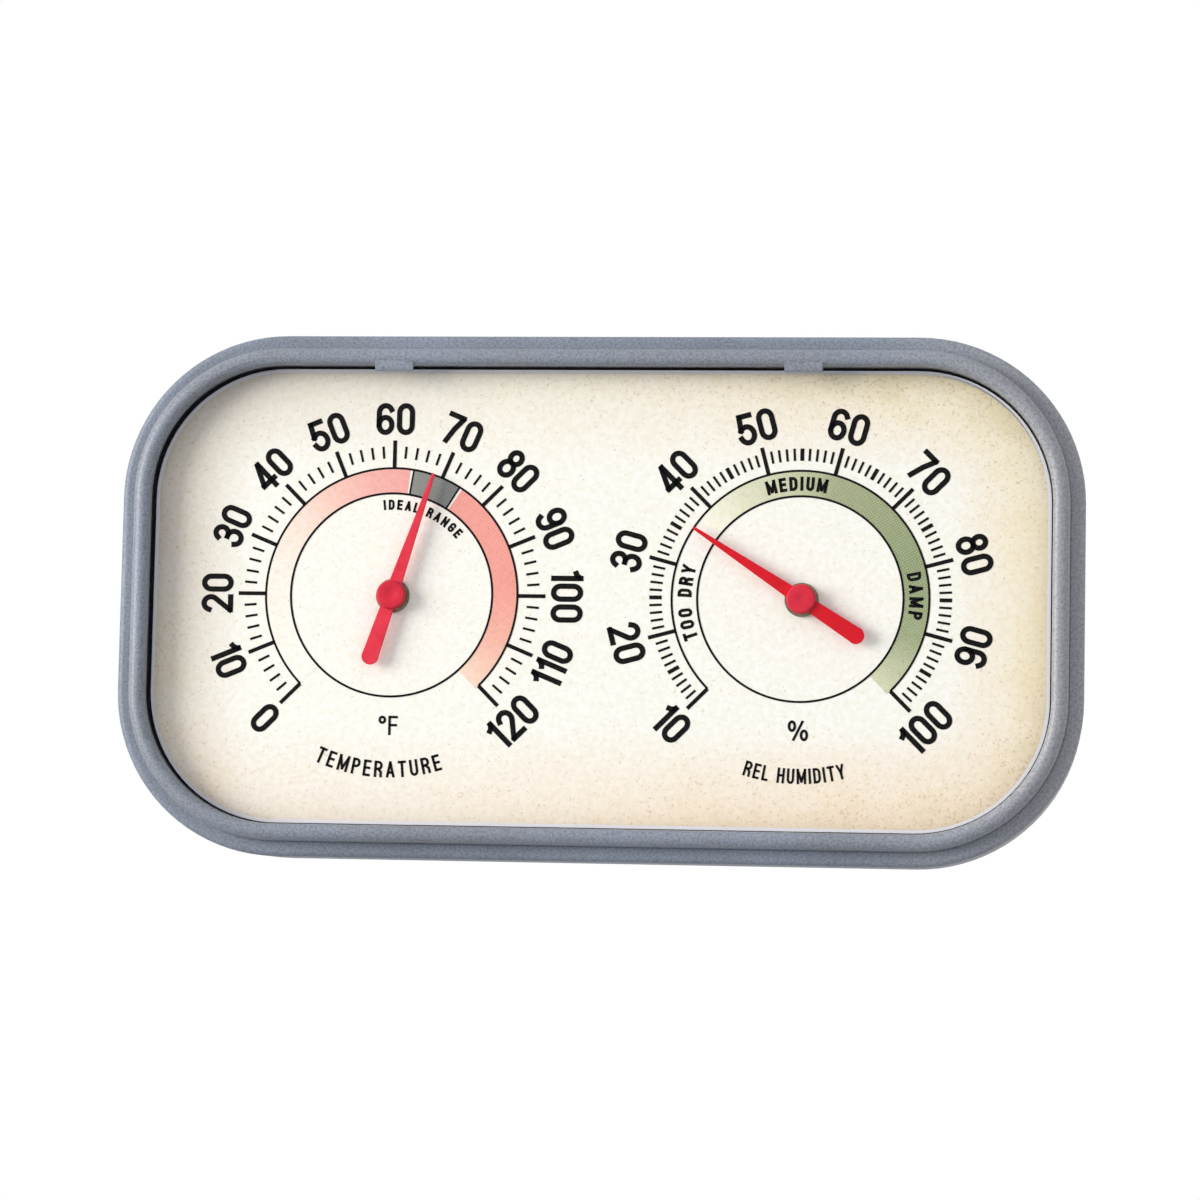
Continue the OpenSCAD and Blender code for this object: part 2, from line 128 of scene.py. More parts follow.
def moulded_abs(name, colour, worn_colour, painted_light, roughness, grain):
    """Spark-finished ABS: a soft broad sheen, a fine grain, paler in patches where it is rubbed, and painted paler
    towards the right end as painted light.
    """
    finish = new_finish(name)
    where = add(finish, "TexCoord").outputs["Object"]
    cloud = add(finish, "TexNoise", {"Vector": where, "Scale": 1 / (case_cloud * MM), "Detail": 3.0}).outputs["Fac"]
    colours = add(finish, "ValToRGB", {"Fac": cloud}, [(0.3, colour), (0.85, worn_colour)]).outputs["Color"]
    across = add(finish, "SeparateXYZ", {"Vector": where}).outputs["X"]
    # Painted light: the right end is painted paler, where the bead shades it from the key lamp.
    share_across = add(finish, "MapRange", {"Value": across, "From Min": painted_light_from, "From Max": painted_light_to})
    colours = add(finish, "MixRGB", {"Fac": share_across.outputs["Result"], "Color1": colours, "Color2": painted_light})
    spark = add(finish, "TexNoise", {"Vector": where, "Scale": 1 / (grain * MM), "Detail": 2.0}).outputs["Fac"]
    sheen = add(finish, "MapRange", {"Value": spark, "To Min": roughness - 0.06, "To Max": roughness + 0.08})
    rounded = add(finish, "Bevel", {"Radius": case_edge_round * MM}, samples=4).outputs["Normal"]
    relief = add(finish, "Bump", {"Strength": 0.25, "Distance": 0.03 * MM, "Height": spark, "Normal": rounded})
    pits = add(finish, "ValToRGB", {"Fac": spark}, [(0.35, grain_dark), (0.6, "#FFFFFF")]).outputs["Color"]
    pitted = add(finish, "MixRGB", {"Fac": 0.7, "Color1": colours.outputs["Color"], "Color2": pits},
                 blend_type="MULTIPLY")
    skin = add(finish, "BsdfPrincipled", {
        "Base Color": pitted.outputs["Color"],
        "Roughness": sheen.outputs["Result"],
        "IOR": 1.53,
        "Specular IOR Level": 0.4,
        "Normal": relief.outputs["Normal"],
    })
    add(finish, "OutputMaterial", {"Surface": skin.outputs["BSDF"]})
    return finish


dress(moulded_abs("spark_finished_blue_grey_abs", case_colour, case_worn_colour, painted_light_case, 0.5, case_grain),
      "rear_case")
dress(moulded_abs("handled_blue_grey_abs", bead_colour, case_worn_colour, painted_light_bead, 0.42, case_grain), "bezel")

# The dial plate, a rolled aluminium sheet that carries both movements behind the print, and the
# two brackets, folded from zinc-plated steel strip. Both are bright but slightly clouded, with
# faint lines left by the rolls, which are drawn coarser than real ones so that they show.
aluminium_colour = "#B9BBBC"
aluminium_dull = "#9B9D9E"
zinc_colour = "#A9ADB3"
zinc_dull = "#8C9197"
sheet_cloud = 6.0
rolling_lines = 0.35
rolling_stretch = 25


def rolled_sheet(name, colour, dull_colour, roughness):
    """Sheet metal as rolled: a broken sheen from clouded patches, and faint lines along it."""
    finish = new_finish(name)
    where = add(finish, "TexCoord").outputs["Object"]
    cloud = add(finish, "TexNoise", {"Vector": where, "Scale": 1 / (sheet_cloud * MM), "Detail": 4.0}).outputs["Fac"]
    colours = add(finish, "ValToRGB", {"Fac": cloud}, [(0.35, dull_colour), (0.65, colour)]).outputs["Color"]
    stretched = add(finish, "Mapping", {"Vector": where, "Scale": (1 / rolling_stretch, 1.0, 1.0)}).outputs["Vector"]
    lines = add(finish, "TexNoise", {"Vector": stretched, "Scale": 1 / (rolling_lines * MM), "Detail": 2.0})
    relief = add(finish, "Bump", {"Strength": 0.2, "Distance": 0.02 * MM, "Height": lines.outputs["Fac"]})
    sheen = add(finish, "MapRange", {"Value": cloud, "To Min": roughness - 0.08, "To Max": roughness + 0.1})
    skin = add(finish, "BsdfPrincipled", {
        "Base Color": colours,
        "Metallic": 1.0,
        "Roughness": sheen.outputs["Result"],
        "Normal": relief.outputs["Normal"],
    })
    add(finish, "OutputMaterial", {"Surface": skin.outputs["BSDF"]})
    return finish


dress(rolled_sheet("rolled_aluminium", aluminium_colour, aluminium_dull, 0.38), "dial_plate")
dress(rolled_sheet("zinc_plated_steel", zinc_colour, zinc_dull, 0.42), "thermo_bracket", "hygro_bracket")

# The turned parts: bushes riveted behind the brackets, studs and collets of brass, and two ground
# steel shafts. The bushes are chemically darkened, and their rims show as an olive ring round
# the pointers' hubs.
brass_colour = "#C9A55A"
brass_tarnish = "#A8853F"
bush_colour = "#8C8670"
bush_tarnish = "#716C5A"
steel_colour = "#B4B6BA"
steel_tarnish = "#95979B"
tarnish_patch = 1.5
# The wave node turns 20 radians in each unit, so this spaces the rings 0.75 mm apart. Those of a
# lathe are finer, and are drawn coarser so that they show.
wave_turn = 20
tool_mark = 0.12


def turned_metal(name, colour, dark_colour, roughness):
    """A turned metal: fine rings from the lathe tool, and tarnish in patches."""
    finish = new_finish(name)
    where = add(finish, "TexCoord").outputs["Object"]
    tarnish = add(finish, "TexNoise", {"Vector": where, "Scale": 1 / (tarnish_patch * MM), "Detail": 3.0})
    colours = add(finish, "ValToRGB", {"Fac": tarnish.outputs["Fac"]}, [(0.35, dark_colour), (0.6, colour)])
    rings = add(finish, "TexWave", {"Vector": where, "Scale": 1 / (wave_turn * tool_mark * MM), "Distortion": 0.6},
                wave_type="BANDS", bands_direction="Y")
    relief = add(finish, "Bump", {"Strength": 0.15, "Distance": 0.01 * MM, "Height": rings.outputs["Fac"]})
    skin = add(finish, "BsdfPrincipled", {
        "Base Color": colours.outputs["Color"],
        "Metallic": 1.0,
        "Roughness": roughness,
        "Normal": relief.outputs["Normal"],
    })
    add(finish, "OutputMaterial", {"Surface": skin.outputs["BSDF"]})
    return finish


dress(turned_metal("turned_brass", brass_colour, brass_tarnish, 0.3),
      "thermo_stud", "hygro_stud", "thermo_collet", "hygro_collet")
dress(turned_metal("darkened_brass", bush_colour, bush_tarnish, 0.5), "thermo_bush", "hygro_bush")
dress(turned_metal("ground_steel", steel_colour, steel_tarnish, 0.25), "thermo_shaft", "hygro_shaft")

# The coils. The thermometer's is bimetal, a strip of two alloys rolled together that curls as it
# warms: its outer side is the yellower alloy and its inner side the greyer. The hygrometer's is
# a metal foil lined inside with coated paper, which swells in damp air and uncurls it.
bimetal_outer = "#B08D57"
bimetal_inner = "#8E9094"
foil_colour = "#9C7346"
paper_colour = "#D8CBAA"
strip_grain = 0.5


def coil_strip(name, shaft_node, outer_colour, inner_colour, outer_metal, inner_metal):
    """A strip whose two faces differ, told apart by whether they look towards the shaft."""
    finish = new_finish(name)
    low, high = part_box(shaft_node)
    shaft = ((low.x + high.x) / 2, 0.0, (low.z + high.z) / 2)
    where = add(finish, "TexCoord")
    out = add(finish, "VectorMath", {0: where.outputs["Object"], 1: shaft}, operation="SUBTRACT").outputs["Vector"]
    level = add(finish, "VectorMath", {0: out, 1: (1.0, 0.0, 1.0)}, operation="MULTIPLY").outputs["Vector"]
    away = add(finish, "VectorMath", {0: level}, operation="NORMALIZE").outputs["Vector"]
    faces = add(finish, "VectorMath", {0: away, 1: where.outputs["Normal"]}, operation="DOT_PRODUCT")
    side = add(finish, "MapRange", {"Value": faces.outputs["Value"], "From Min": -0.3, "From Max": 0.3})
    grain = add(finish, "TexNoise", {"Vector": where.outputs["Object"], "Scale": 1 / (strip_grain * MM), "Detail": 3.0})
    shade = add(finish, "ValToRGB", {"Fac": grain.outputs["Fac"]}, [(0.3, "#C8C8C8"), (0.7, "#FFFFFF")])
    plain = add(finish, "MixRGB", {"Fac": side.outputs["Result"], "Color1": inner_colour, "Color2": outer_colour})
    colours = add(finish, "MixRGB", {"Fac": 1.0, "Color1": plain.outputs["Color"], "Color2": shade.outputs["Color"]},
                  blend_type="MULTIPLY")
    metal = add(finish, "MapRange", {"Value": side.outputs["Result"], "To Min": inner_metal, "To Max": outer_metal})
    skin = add(finish, "BsdfPrincipled", {
        "Base Color": colours.outputs["Color"],
        "Metallic": metal.outputs["Result"],
        "Roughness": 0.4,
    })
    add(finish, "OutputMaterial", {"Surface": skin.outputs["BSDF"]})
    return finish


dress(coil_strip("rolled_bimetal", "thermo_shaft", bimetal_outer, bimetal_inner, 1.0, 1.0), "thermo_coil")
dress(coil_strip("paper_lined_foil", "hygro_shaft", foil_colour, paper_colour, 1.0, 0.0), "hygro_coil")

# The dial face, a card printed all over with the look of old parchment: pale cream, straw at the
# right edge and a warmer tan at the bottom, with fine fibres and specks, and painted shade greying
# the upper left edge. The print stops just short of the card's edge and leaves a white margin. It
# is matt, with the tooth of card.
cream = "#FFFDF4"
cream_edge = "#FDF7E9"
straw = "#FBEDCD"
blush = "#FDE4CE"
olive_stain = "#E6DFB8"
# The grey of the painted shade at the upper left edge, standing in for the bezel's shadow.
painted_shade_grey = "#D2C8BE"
speck = "#CDAE90"
bare_card = "#FDFBFF"
aged_width = 17.0
blotch = 9.0
stain_size = 3.0
speck_size = 0.4
fibre_size = 0.9
margin = 0.6
dial_corner = 22.5 * MM
# The tooth of card is nearer 0.1 mm, and is drawn coarser so that it shows.
card_tooth = 0.3


def parchment(finish):
    """Adds the aged cream of the card, with painted shade at its upper left edge, and gives the socket that holds its
    colour.
    """
    where = add(finish, "TexCoord").outputs["Object"]
    # How near the edge a point is, measured from a core that leaves out the rounded corners.
    half = (dial_high - dial_low) / 2
    middle = (dial_high + dial_low) / 2
    centred = add(finish, "VectorMath", {0: where, 1: tuple(middle)}, operation="SUBTRACT").outputs["Vector"]
    core = add(finish, "VectorMath", {0: centred, 1: (1.0, 0.0, 1.0)}, operation="MULTIPLY").outputs["Vector"]
    folded = add(finish, "VectorMath", {0: core}, operation="ABSOLUTE").outputs["Vector"]
    corner = (half.x - dial_corner, 0.0, half.z - dial_corner)
    beyond = add(finish, "VectorMath", {0: folded, 1: corner}, operation="SUBTRACT").outputs["Vector"]
    outer = add(finish, "VectorMath", {0: beyond, 1: (0.0, 0.0, 0.0)}, operation="MAXIMUM").outputs["Vector"]
    from_core = add(finish, "VectorMath", {0: outer}, operation="LENGTH").outputs["Value"]
    near_edge = add(finish, "MapRange", {
        "Value": from_core, "From Min": dial_corner - aged_width * MM, "From Max": dial_corner}).outputs["Result"]
    # How aged it is: more towards the edge and the right end, and uneven in clouds.
    scaled = add(finish, "VectorMath", {0: core, 1: (1 / half.x, 0.0, 1 / half.z)}, operation="MULTIPLY")
    sides = add(finish, "SeparateXYZ", {"Vector": scaled.outputs["Vector"]})
    along = add(finish, "MapRange", {"Value": sides.outputs["X"], "From Min": -1.0}).outputs["Result"]
    share_across = add(finish, "ValToRGB", {"Fac": along}, [
        (0.0, "#D8D8D8"), (0.12, "#909090"), (0.3, "#8E8E8E"), (0.55, "#C4C4C4"), (0.85, "#FFFFFF")])
    clouds = add(finish, "TexNoise", {"Vector": where, "Scale": 1 / (blotch * MM), "Detail": 5.0, "Roughness": 0.5})
    uneven = add(finish, "Math", {0: clouds.outputs["Fac"], 1: 1.3, 2: 0.35}, operation="MULTIPLY_ADD")
    faded = add(finish, "Math", {0: near_edge, 1: share_across.outputs["Color"]}, operation="MULTIPLY")
    aged = add(finish, "Math", {0: faded.outputs["Value"], 1: uneven.outputs["Value"]}, operation="MULTIPLY")
    aged = aged.outputs["Value"]
    # The ground, which yellows as it ages and is warmer at the bottom.
    ground = add(finish, "ValToRGB", {"Fac": aged}, [(0.0, cream), (0.25, cream_edge), (0.95, straw)])
    low = add(finish, "MapRange", {"Value": sides.outputs["Z"], "From Min": -0.3, "From Max": -1.0, "To Max": 0.9})
    warm = add(finish, "Math", {0: low.outputs["Result"], 1: aged}, operation="MULTIPLY").outputs["Value"]
    blushed = add(finish, "MixRGB", {"Fac": warm, "Color1": ground.outputs["Color"], "Color2": blush})
    # Olive stains on the aged parts, in a pattern of their own, few of them halfway up the right end.
    shifted = add(finish, "Mapping", {"Vector": where, "Location": (0.3, 0.0, 0.7)}).outputs["Vector"]
    stain = add(finish, "TexNoise", {"Vector": shifted, "Scale": 1 / (stain_size * MM), "Detail": 7.0}).outputs["Fac"]
    height = add(finish, "Math", {0: sides.outputs["Z"]}, operation="ABSOLUTE").outputs["Value"]
    kept = add(finish, "MapRange", {"Value": height, "From Min": 0.1, "From Max": 0.6, "To Min": 0.2})
    right = add(finish, "MapRange", {"Value": sides.outputs["X"], "From Min": 0.5, "From Max": 0.9})
    spared = add(finish, "MixRGB", {"Fac": right.outputs["Result"], "Color1": aged, "Color2": kept.outputs["Result"]},
                 blend_type="MULTIPLY").outputs["Color"]
    stain_edge = add(finish, "Math", {0: stain, 1: spared}, operation="MULTIPLY").outputs["Value"]
    stain_share = add(finish, "MapRange", {"Value": stain_edge, "From Min": 0.25, "From Max": 0.55, "To Max": 0.4})
    stained = add(finish, "MixRGB", {
        "Fac": stain_share.outputs["Result"], "Color1": blushed.outputs["Color"], "Color2": olive_stain})
    # Painted shade along the upper left edge: grey standing in for the bezel's shadow on the card.
    left = add(finish, "MapRange", {"Value": sides.outputs["X"], "From Min": -0.2, "From Max": -0.9, "To Max": 0.6})
    high = add(finish, "MapRange", {"Value": sides.outputs["Z"], "From Min": -0.8, "From Max": 0.2, "To Min": 0.2})
    upper_left = add(finish, "Math", {0: left.outputs["Result"], 1: high.outputs["Result"]}, operation="MULTIPLY")
    painted_shade_share = add(finish, "Math", {0: upper_left.outputs["Value"], 1: near_edge}, operation="MULTIPLY")
    with_painted_shade = add(finish, "MixRGB", {
        "Fac": painted_shade_share.outputs["Value"], "Color1": stained.outputs["Color"], "Color2": painted_shade_grey})
    # Specks, the mottle of the fibres, and the white margin.
    dust = add(finish, "TexNoise", {"Vector": where, "Scale": 1 / (speck_size * MM), "Detail": 1.0}).outputs["Fac"]
    dust_edge = add(finish, "Math", {0: spared, 1: 0.11, 2: dust}, operation="MULTIPLY_ADD").outputs["Value"]
    dust_share = add(finish, "MapRange", {"Value": dust_edge, "From Min": 0.67, "From Max": 0.79, "To Max": 0.5})
    specked = add(finish, "MixRGB", {
        "Fac": dust_share.outputs["Result"], "Color1": with_painted_shade.outputs["Color"], "Color2": speck})
    fibre = add(finish, "TexNoise", {"Vector": where, "Scale": 1 / (fibre_size * MM), "Detail": 3.0}).outputs["Fac"]
    mottle = add(finish, "ValToRGB", {"Fac": fibre}, [(0.38, "#FAF8F3"), (0.62, "#FFFFFF")]).outputs["Color"]
    mottled = add(finish, "MixRGB", {"Fac": 1.0, "Color1": specked.outputs["Color"], "Color2": mottle},
                  blend_type="MULTIPLY")
    bare = add(finish, "Math", {0: from_core, 1: dial_corner - margin * MM}, operation="GREATER_THAN")
    edged = add(finish, "MixRGB", {
        "Fac": bare.outputs["Value"], "Color1": mottled.outputs["Color"], "Color2": bare_card})
    return edged.outputs["Color"]


def printed_card(finish, colour):
    """Ends a printed finish: matt, with the fine tooth of card."""
    where = add(finish, "TexCoord").outputs["Object"]
    tooth = add(finish, "TexNoise", {"Vector": where, "Scale": 1 / (card_tooth * MM), "Detail": 2.0}).outputs["Fac"]
    relief = add(finish, "Bump", {"Strength": 0.1, "Distance": 0.01 * MM, "Height": tooth}).outputs["Normal"]
    skin = add(finish, "BsdfPrincipled", {
        "Base Color": colour,
        "Roughness": 0.7,
        "Specular IOR Level": 0.06,
        "Normal": relief,
    })
    add(finish, "OutputMaterial", {"Surface": skin.outputs["BSDF"]})
    return finish


card = new_finish("parchment_printed_card")
dress(printed_card(card, parchment(card)), "dial_face")

# The colour bands between each scale's two circles, inks printed on the card in a fine screen.
# Temperature fades in to pink, has a grey zone from 64 to 74 degrees, and goes on in salmon.
# Humidity fades in to olive green from about 38 %, and its screen opens again towards 100 %.
outer_circle = 21.8
inner_circle = 17.45
half_sweep = 135
band_end = 137
zone_start, zone_end = 64, 74
zone_gap = 0.65
green_start = 38
screen_pitch = 0.42
screen_turn = 30
ink_height = 0.02
ink_thickness = 0.015
mitre_limit = 0.35
thermo_low, thermo_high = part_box("thermo_shaft")
hygro_low, hygro_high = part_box("hygro_shaft")


def scale_middle(low, high):
    """The middle of a printed scale on the card, in metres, from its shaft."""
    return Vector((
        (low.x + high.x) / 2 + print_offset[0] * MM,
        dial_low.y - ink_height * MM,
        (low.z + high.z) / 2 + print_offset[1] * MM,
    ))


thermo_middle = scale_middle(thermo_low, thermo_high)
hygro_middle = scale_middle(hygro_low, hygro_high)


def bearing(angle, radius):
    """The point at a clockwise angle from the top of a scale."""
    return (radius * math.sin(math.radians(angle)), radius * math.cos(math.radians(angle)))


def arc_points(start, end, radius, step=2.0):
    """Points along an arc of a scale, from one clockwise angle to another."""
    count = max(2, math.ceil(abs(end - start) / step) + 1)
    return [bearing(start + (end - start) * i / (count - 1), radius) for i in range(count)]


def ribbon(points, width, closed=False):
    """The two sides of an even stroke along a line of points, as pairs, mitred at each bend."""
    sides = []
    count = len(points)
    for i, (x, y) in enumerate(points):
        before = points[i - 1] if closed or i > 0 else None
        after = points[(i + 1) % count] if closed or i < count - 1 else None
        turns = []
        for a, b in ((before, (x, y)), ((x, y), after)):
            if a is not None and b is not None:
                length = math.hypot(b[0] - a[0], b[1] - a[1])
                turns.append(((b[1] - a[1]) / -length, (b[0] - a[0]) / length))
        nx, ny = (sum(t[k] for t in turns) / len(turns) for k in (0, 1))
        reach = width / 2 / max(nx * nx + ny * ny, mitre_limit)
        sides.append(((x + nx * reach, y + ny * reach), (x - nx * reach, y - ny * reach)))
    return sides + sides[:1] if closed else sides


def print_piece(name, strokes, middle, finish):
    """Lays strokes of ink on the card about a point, as one thin piece that rides with the case."""
    corners, faces, along = [], [], []
    for sides in strokes:
        first = len(corners)
        for i, (left, right) in enumerate(sides):
            corners += [middle + Vector((x * MM, 0.0, y * MM)) for x, y in (left, right)]
            along += [i / (len(sides) - 1)] * 2
        faces += [(first + 2 * i + 2, first + 2 * i, first + 2 * i + 1, first + 2 * i + 3)
                  for i in range(len(sides) - 1)]
    mesh = bpy.data.meshes.new(name)
    mesh.from_pydata(corners, [], faces)
    share = mesh.uv_layers.new(name="along")
    for loop in mesh.loops:
        share.data[loop.index].uv = (along[loop.vertex_index], 0.5)
    mesh.materials.append(finish)
    piece = bpy.data.objects.new(name, mesh)
    bpy.context.scene.collection.objects.link(piece)
    film = piece.modifiers.new("film", "SOLIDIFY")
    film.thickness = ink_thickness * MM
    film.offset = 0.0
    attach(piece, "case")
    return piece


def screened_ink(name, stops, screen):
    """A printed tint over the parchment: its strength runs along the band, and a fine screen shows in it."""
    finish = new_finish(name)
    where = add(finish, "TexCoord")
    along = add(finish, "SeparateXYZ", {"Vector": where.outputs["UV"]}).outputs["X"]
    tint = add(finish, "ValToRGB", {"Fac": along}, stops).outputs["Color"]
    wave = 2 * math.pi / (screen_pitch * MM)
    turn = (0.0, math.radians(screen_turn), 0.0)
    turned = add(finish, "Mapping", {
        "Vector": where.outputs["Object"], "Rotation": turn, "Scale": (wave, 0.0, wave)})
    sines = add(finish, "VectorMath", {0: turned.outputs["Vector"]}, operation="SINE").outputs["Vector"]
    axes = add(finish, "SeparateXYZ", {"Vector": sines})
    dots = add(finish, "Math", {0: axes.outputs["X"], 1: axes.outputs["Z"]}, operation="ADD").outputs["Value"]
    open_share = add(finish, "MapRange", {"Value": dots, "From Min": 0.2, "From Max": 1.6, "To Max": screen})
    printed = add(finish, "MixRGB", {"Fac": open_share.outputs["Result"], "Color1": tint, "Color2": "#FFFFFF"})
    colour = add(finish, "MixRGB", {"Fac": 1.0, "Color1": parchment(finish), "Color2": printed.outputs["Color"]},
                 blend_type="MULTIPLY")
    return printed_card(finish, colour.outputs["Color"])


pink_ink = screened_ink("screened_pink_ink",
                        [(0.0, "#FFFFFF"), (0.42, "#FFF8F4"), (0.58, "#FFEAE3"), (0.72, "#FED0C9"), (0.87, "#F9B6B5"),
                         (1.0, "#F8ABAB")], 0.25)
salmon_ink = screened_ink("screened_salmon_ink",
                          [(0.0, "#F8A19C"), (0.5, "#F8A29B"), (0.75, "#FAB7AA"), (1.0, "#FDE0D2")], 0.25)
grey_ink = screened_ink("screened_grey_ink", [(0.0, "#8D9292"), (0.5, "#858A8C"), (1.0, "#7B7F83")], 0.15)
green_ink = screened_ink("screened_olive_ink",
                         [(0.0, "#FFFFF4"), (0.12, "#E4E6CF"), (0.26, "#C6CCAC"), (0.36, "#A3AC88"), (0.66, "#8F9F76"),
                          (0.85, "#9DAB84"), (1.0, "#D9DCC1")], 0.3)
band_middle = (outer_circle + inner_circle) / 2
band_width = outer_circle - inner_circle


def band(start, end):
    """One stretch of a colour band."""
    return [ribbon(arc_points(start, end, band_middle), band_width)]


def temperature_angle(degrees):
    """The clockwise angle of a reading on the Fahrenheit scale."""
    return (degrees - 60) * 2.25


def humidity_angle(percent):
    """The clockwise angle of a reading on the humidity scale."""
    return (percent - 55) * 3.0


zone_from, zone_to = temperature_angle(zone_start), temperature_angle(zone_end)
cool_to, warm_from = temperature_angle(zone_start - zone_gap), temperature_angle(zone_end + zone_gap)
print_piece("thermo_cool_band", band(-half_sweep, cool_to), thermo_middle, pink_ink)
print_piece("thermo_zone_band", band(zone_from, zone_to), thermo_middle, grey_ink)
print_piece("thermo_warm_band", band(warm_from, band_end), thermo_middle, salmon_ink)
print_piece("hygro_band", band(humidity_angle(green_start), band_end), hygro_middle, green_ink)

# The scales: two circles each and their graduations, in black ink a few hundredths of a millimetre
# above the bands. Degrees are marked in twos and tens, per cents singly, with the fives heavier.
circle_line = 0.37
major_line = 0.66
minor_line = 0.4
zone_line = 0.3
major_end = 26.6
minor_start = 23.5
minor_end = 25.6
black_rise = 0.03
black_dense = "#0A0807"
black_thin = "#1A1614"
black_patch = 0.4


def black_print(name):
    """Screen-printed black: dense and warm, a little uneven where the card's tooth shows through."""
    finish = new_finish(name)
    where = add(finish, "TexCoord").outputs["Object"]
    cover = add(finish, "TexNoise", {"Vector": where, "Scale": 1 / (black_patch * MM), "Detail": 3.0}).outputs["Fac"]
    colour = add(finish, "ValToRGB", {"Fac": cover}, [(0.45, black_dense), (0.8, black_thin)]).outputs["Color"]
    return printed_card(finish, colour)


black = black_print("black_screen_ink")
black_height = Vector((0.0, -black_rise * MM, 0.0))


def tick(angle, start, end, width):
    """One graduation."""
    return ribbon([bearing(angle, start), bearing(angle, end)], width)


def circles():
    """The outer arc, open at the bottom, and the full inner circle."""
    return [ribbon(arc_points(-half_sweep, half_sweep, outer_circle), circle_line),
            ribbon(arc_points(0, 358, inner_circle), circle_line, closed=True)]


thermo_ticks = circles()
for angle in (zone_from, zone_to):
    thermo_ticks.append(tick(angle, inner_circle, outer_circle, zone_line))
for degrees in range(0, 121, 2):
    if degrees % 10 == 0:
        thermo_ticks.append(tick(temperature_angle(degrees), outer_circle, major_end, major_line))
    else:
        thermo_ticks.append(tick(temperature_angle(degrees), minor_start, minor_end, minor_line))
print_piece("thermo_scale", thermo_ticks, thermo_middle + black_height, black)

hygro_ticks = circles()
for percent in range(10, 101):
    if percent % 10 == 0:
        hygro_ticks.append(tick(humidity_angle(percent), outer_circle, major_end, major_line))
    else:
        hygro_ticks.append(tick(humidity_angle(percent), minor_start, minor_end,
                                major_line if percent % 5 == 0 else minor_line))
print_piece("hygro_scale", hygro_ticks, hygro_middle + black_height, black)

# The numerals and words, in the same black. They are drawn as strokes of one width, as a condensed
# grotesque is: each glyph is a width and its strokes, in a square that the pen's middle moves in.
numeral_height = 5.55
numeral_pen = 0.165
numeral_width = 0.565
numeral_gap = 0.075
numeral_radius = 30.3


def bow(x, y, rx, ry, start, end, step=15.0):
    """Points on an ellipse, from one angle to another, anticlockwise from the right."""
    count = max(2, math.ceil(abs(end - start) / step) + 1)
    angles = [math.radians(start + (end - start) * i / (count - 1)) for i in range(count)]
    return [(x + rx * math.cos(a), y + ry * math.sin(a)) for a in angles]


def turned_over(strokes):
    """The same strokes rotated half a turn."""
    return [[(1 - x, 1 - y) for x, y in stroke] for stroke in strokes]


